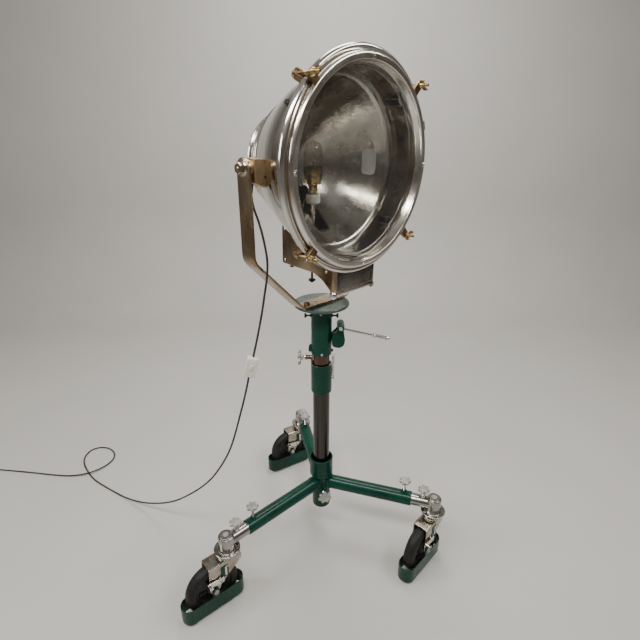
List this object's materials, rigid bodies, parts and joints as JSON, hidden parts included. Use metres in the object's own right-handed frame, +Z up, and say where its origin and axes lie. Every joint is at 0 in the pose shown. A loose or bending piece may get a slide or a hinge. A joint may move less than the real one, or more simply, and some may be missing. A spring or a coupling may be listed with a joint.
{
  "type": "follow spot",
  "caption": "Large round polished follow spot in a flat-bar yoke, on a rolling three-legged stand with a telescopic column, lifting lever, swivel casters and a mains lead.",
  "frame": {"origin": "middle of the object's box on the floor, without its mains lead", "axes": "+Z up; the lamp aims along -Y; the tilt axis is along X"},
  "size_m": [1.412, 2.0217, 1.8773],
  "materials": {
    "green_paint": "gloss",
    "chrome": "polished",
    "polished_aluminium": "polished",
    "plated_steel": "satin",
    "cast_metal": "cast",
    "brass": "satin",
    "black_rubber": "matt",
    "black_plastic": "satin",
    "ivory_plastic": "satin",
    "clear_glass": "gloss"
  },
  "bodies": {
    "stand": {"base_frame": "green_paint", "column_tube": "chrome", "cord_lead": "black_plastic", "cord_coil": "black_plastic", "cord_plug": "black_plastic"},
    "mast": {"mast_tube": "green_paint", "ratchet_case": "green_paint"},
    "drum": {"winding_drum": "cast_metal"},
    "pump_handle": {"lift_handle": "chrome"},
    "turntable": {"top_plate": "green_paint", "yoke": "plated_steel", "cord_drop": "black_plastic", "cord_switch": "ivory_plastic"},
    "head": {"lamp_house": "polished_aluminium", "rear_cap": "polished_aluminium", "door_ring": "polished_aluminium", "front_glass": "clear_glass", "reflector": "polished_aluminium", "lamp_box": "plated_steel", "aiming_handle": "chrome", "trunnion_bracket_left": "plated_steel", "trunnion_bracket_right": "plated_steel", "trunnion_bolt_left": "plated_steel", "trunnion_bolt_right": "plated_steel"},
    "lamp_slide": {"lamp_carriage": "cast_metal", "lamp": "clear_glass"},
    "focus_screw": {"focus_knob": "black_plastic"},
    "leg_1": {"leg_end_1": "chrome"},
    "caster_1": {"caster_fork_1": "chrome", "cable_guard_1": "green_paint"},
    "wheel_body_1": {"wheel_1": "black_rubber"},
    "brake_1": {"brake_lever_1": "cast_metal"},
    "leg_clamp_1": {"leg_knob_1": "cast_metal"},
    "swivel_clamp_1": {"swivel_knob_1": "cast_metal"},
    "leg_2": {"leg_end_2": "chrome"},
    "caster_2": {"caster_fork_2": "chrome", "cable_guard_2": "green_paint"},
    "wheel_body_2": {"wheel_2": "black_rubber"},
    "brake_2": {"brake_lever_2": "cast_metal"},
    "leg_clamp_2": {"leg_knob_2": "cast_metal"},
    "swivel_clamp_2": {"swivel_knob_2": "cast_metal"},
    "leg_3": {"leg_end_3": "chrome"},
    "caster_3": {"caster_fork_3": "chrome", "cable_guard_3": "green_paint"},
    "wheel_body_3": {"wheel_3": "black_rubber"},
    "brake_3": {"brake_lever_3": "cast_metal"},
    "leg_clamp_3": {"leg_knob_3": "cast_metal"},
    "swivel_clamp_3": {"swivel_knob_3": "cast_metal"},
    "clamp_1": {"swing_bolt_1": "brass"},
    "clamp_nut_1": {"wing_nut_1": "brass"},
    "clamp_2": {"swing_bolt_2": "brass"},
    "clamp_nut_2": {"wing_nut_2": "brass"},
    "clamp_3": {"swing_bolt_3": "brass"},
    "clamp_nut_3": {"wing_nut_3": "brass"},
    "clamp_4": {"swing_bolt_4": "brass"},
    "clamp_nut_4": {"wing_nut_4": "brass"},
    "hub_clamp": {"hub_knob": "cast_metal"},
    "lift_clamp": {"lift_knob": "cast_metal"},
    "pan_clamp_1": {"pan_screw_1": "black_plastic"},
    "pan_clamp_2": {"pan_screw_2": "black_plastic"}
  },
  "joints": [
    {"name": "pan", "type": "hinge", "parent": "mast", "child": "turntable", "pos_m": [0.17, 0.0038, 1.06], "axis": [0, 0, 1], "range_deg": [-90, 90], "deforming": ["cord_lead"]},
    {"name": "tilt", "type": "hinge", "parent": "turntable", "child": "head", "pos_m": [0.17, 0.0038, 1.5584], "axis": [1, 0, 0], "range_deg": [-40, 40], "deforming": ["cord_drop"]},
    {"name": "column_lift", "type": "slide", "parent": "stand", "child": "mast", "axis": [0, 0, 1], "range_m": [-0.009, 0.15], "deforming": ["cord_lead"]},
    {"name": "drum_turn", "type": "hinge", "parent": "mast", "child": "drum", "pos_m": [0.20748, -0.04923, 0.943], "axis": [0.7071, 0.7071, 0], "range_deg": [-40, 620]},
    {"name": "pump_stroke", "type": "hinge", "parent": "mast", "child": "pump_handle", "pos_m": [0.18669, -0.07936, 0.9985], "axis": [-0.7071, -0.7071, 0], "range_deg": [-45, 50]},
    {"name": "focus", "type": "slide", "parent": "head", "child": "lamp_slide", "axis": [0, -0.9997, -0.0227], "range_m": [-0.025, 0.025]},
    {"name": "focus_knob_turn", "type": "hinge", "parent": "lamp_slide", "child": "focus_screw", "pos_m": [0.17, 0.05287, 1.15941], "axis": [0, -0.0227, 0.9997], "range_deg": [0, 360]},
    {"name": "swivel_1", "type": "hinge", "parent": "leg_1", "child": "caster_1", "pos_m": [-0.30431, 0.02036, 0.222], "axis": [0, 0, 1], "continuous": true},
    {"name": "wheel_1_roll", "type": "hinge", "parent": "caster_1", "child": "wheel_body_1", "pos_m": [-0.37806, 0.02759, 0.1016], "axis": [-0.0976, -0.9952, 0], "continuous": true},
    {"name": "brake_1_press", "type": "hinge", "parent": "caster_1", "child": "brake_1", "pos_m": [-0.35967, -0.01139, 0.143], "axis": [-0.0976, -0.9952, 0], "range_deg": [0, 18]},
    {"name": "leg_1_slide", "type": "slide", "parent": "stand", "child": "leg_1", "axis": [-0.9994, 0.0349, 0], "range_m": [-0.02, 0.1]},
    {"name": "leg_knob_1_turn", "type": "hinge", "parent": "stand", "child": "leg_clamp_1", "pos_m": [-0.18378, 0.01615, 0.345], "axis": [0, 0, 1], "range_deg": [0, 360]},
    {"name": "swivel_knob_1_turn", "type": "hinge", "parent": "leg_1", "child": "swivel_clamp_1", "pos_m": [-0.26074, 0.01884, 0.321], "axis": [0, 0, 1], "range_deg": [0, 360]},
    {"name": "swivel_2", "type": "hinge", "parent": "leg_2", "child": "caster_2", "pos_m": [0.39281, -0.41525, 0.222], "axis": [0, 0, 1], "continuous": true},
    {"name": "wheel_2_roll", "type": "hinge", "parent": "caster_2", "child": "wheel_body_2", "pos_m": [0.31874, -0.41745, 0.1016], "axis": [0.0297, -0.9996, 0], "continuous": true},
    {"name": "brake_2_press", "type": "hinge", "parent": "caster_2", "child": "brake_2", "pos_m": [0.34193, -0.45377, 0.143], "axis": [0.0297, -0.9996, 0], "range_deg": [0, 18]},
    {"name": "leg_2_slide", "type": "slide", "parent": "stand", "child": "leg_2", "axis": [0.4695, -0.8829, 0], "range_m": [-0.02, 0.1]},
    {"name": "leg_knob_2_turn", "type": "hinge", "parent": "stand", "child": "leg_clamp_2", "pos_m": [0.33619, -0.30876, 0.345], "axis": [0, 0, 1], "range_deg": [0, 360]},
    {"name": "swivel_knob_2_turn", "type": "hinge", "parent": "leg_2", "child": "swivel_clamp_2", "pos_m": [0.37234, -0.37675, 0.321], "axis": [0, 0, 1], "range_deg": [0, 360]},
    {"name": "swivel_3", "type": "hinge", "parent": "leg_3", "child": "caster_3", "pos_m": [0.4215, 0.40628, 0.222], "axis": [0, 0, 1], "continuous": true},
    {"name": "wheel_3_roll", "type": "hinge", "parent": "caster_3", "child": "wheel_body_3", "pos_m": [0.34936, 0.4232, 0.1016], "axis": [-0.2284, -0.9736, 0], "continuous": true},
    {"name": "brake_3_press", "type": "hinge", "parent": "caster_3", "child": "brake_3", "pos_m": [0.36242, 0.38214, 0.143], "axis": [-0.2284, -0.9736, 0], "range_deg": [0, 18]},
    {"name": "leg_3_slide", "type": "slide", "parent": "stand", "child": "leg_3", "axis": [0.5299, 0.848, 0], "range_m": [-0.02, 0.1]},
    {"name": "leg_knob_3_turn", "type": "hinge", "parent": "stand", "child": "leg_clamp_3", "pos_m": [0.35759, 0.30401, 0.345], "axis": [0, 0, 1], "range_deg": [0, 360]},
    {"name": "swivel_knob_3_turn", "type": "hinge", "parent": "leg_3", "child": "swivel_clamp_3", "pos_m": [0.39839, 0.36931, 0.321], "axis": [0, 0, 1], "range_deg": [0, 360]},
    {"name": "clamp_1_swing", "type": "hinge", "parent": "head", "child": "clamp_1", "pos_m": [0.40264, -0.13644, 1.78791], "axis": [-0.7071, -0.016, 0.7069], "range_deg": [0, 85]},
    {"name": "wing_nut_1_turn", "type": "hinge", "parent": "clamp_1", "child": "clamp_nut_1", "pos_m": [0.40264, -0.20143, 1.78644], "axis": [0, -0.9997, -0.0227], "range_deg": [0, 360]},
    {"name": "clamp_2_swing", "type": "hinge", "parent": "head", "child": "clamp_2", "pos_m": [0.40264, -0.12589, 1.32276], "axis": [0.7071, -0.016, 0.7069], "range_deg": [0, 85]},
    {"name": "wing_nut_2_turn", "type": "hinge", "parent": "clamp_2", "child": "clamp_nut_2", "pos_m": [0.40264, -0.19087, 1.32128], "axis": [0, -0.9997, -0.0227], "range_deg": [0, 360]},
    {"name": "clamp_3_swing", "type": "hinge", "parent": "head", "child": "clamp_3", "pos_m": [-0.06264, -0.12589, 1.32276], "axis": [0.7071, 0.016, -0.7069], "range_deg": [0, 85]},
    {"name": "wing_nut_3_turn", "type": "hinge", "parent": "clamp_3", "child": "clamp_nut_3", "pos_m": [-0.06264, -0.19087, 1.32128], "axis": [0, -0.9997, -0.0227], "range_deg": [0, 360]},
    {"name": "clamp_4_swing", "type": "hinge", "parent": "head", "child": "clamp_4", "pos_m": [-0.06264, -0.13644, 1.78791], "axis": [-0.7071, 0.016, -0.7069], "range_deg": [0, 85]},
    {"name": "wing_nut_4_turn", "type": "hinge", "parent": "clamp_4", "child": "clamp_nut_4", "pos_m": [-0.06264, -0.20143, 1.78644], "axis": [0, -0.9997, -0.0227], "range_deg": [0, 360]},
    {"name": "hub_knob_turn", "type": "hinge", "parent": "stand", "child": "hub_clamp", "pos_m": [0.13609, -0.05047, 0.232], "axis": [-0.5299, -0.848, 0], "range_deg": [0, 360]},
    {"name": "lift_knob_turn", "type": "hinge", "parent": "stand", "child": "lift_clamp", "pos_m": [0.11485, 0.05895, 0.8587], "axis": [-0.7071, 0.7071, 0], "range_deg": [0, 360]},
    {"name": "pan_screw_1_turn", "type": "hinge", "parent": "mast", "child": "pan_clamp_1", "pos_m": [0.12899, 0.04481, 1.03], "axis": [-0.7071, 0.7071, 0], "range_deg": [0, 360]},
    {"name": "pan_screw_2_turn", "type": "hinge", "parent": "mast", "child": "pan_clamp_2", "pos_m": [0.21101, -0.03721, 1.03], "axis": [0.7071, -0.7071, 0], "range_deg": [0, 360]}
  ],
  "couplings": [
    {"joint": "drum_turn", "follows": "column_lift", "rad_per_m": 71.429}
  ]
}
